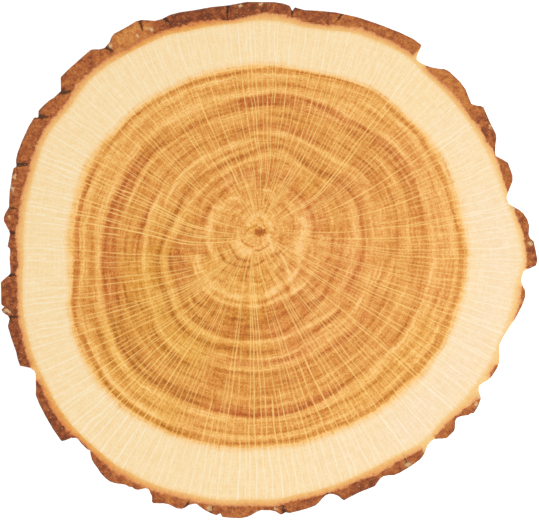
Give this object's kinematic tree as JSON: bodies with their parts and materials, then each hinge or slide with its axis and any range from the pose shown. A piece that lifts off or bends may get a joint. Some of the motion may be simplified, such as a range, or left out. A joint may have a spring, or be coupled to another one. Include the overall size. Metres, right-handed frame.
{
  "type": "wood slice",
  "caption": "Round cross-cut slice of an oak trunk, sawn flat on both faces, with growth rings, pale sapwood and a rim of thick furrowed bark.",
  "frame": {"origin": "middle of the slice's bounding box, on the underside", "axes": "+Z up, from the underside to the upper cut; +X to the right and +Y up in the picture"},
  "size_m": [0.2684, 0.2586, 0.025],
  "materials": {
    "oak": "bare sawn oak with dry rough bark"
  },
  "bodies": {
    "root": {"wood_slice": "oak"}
  },
  "joints": []
}
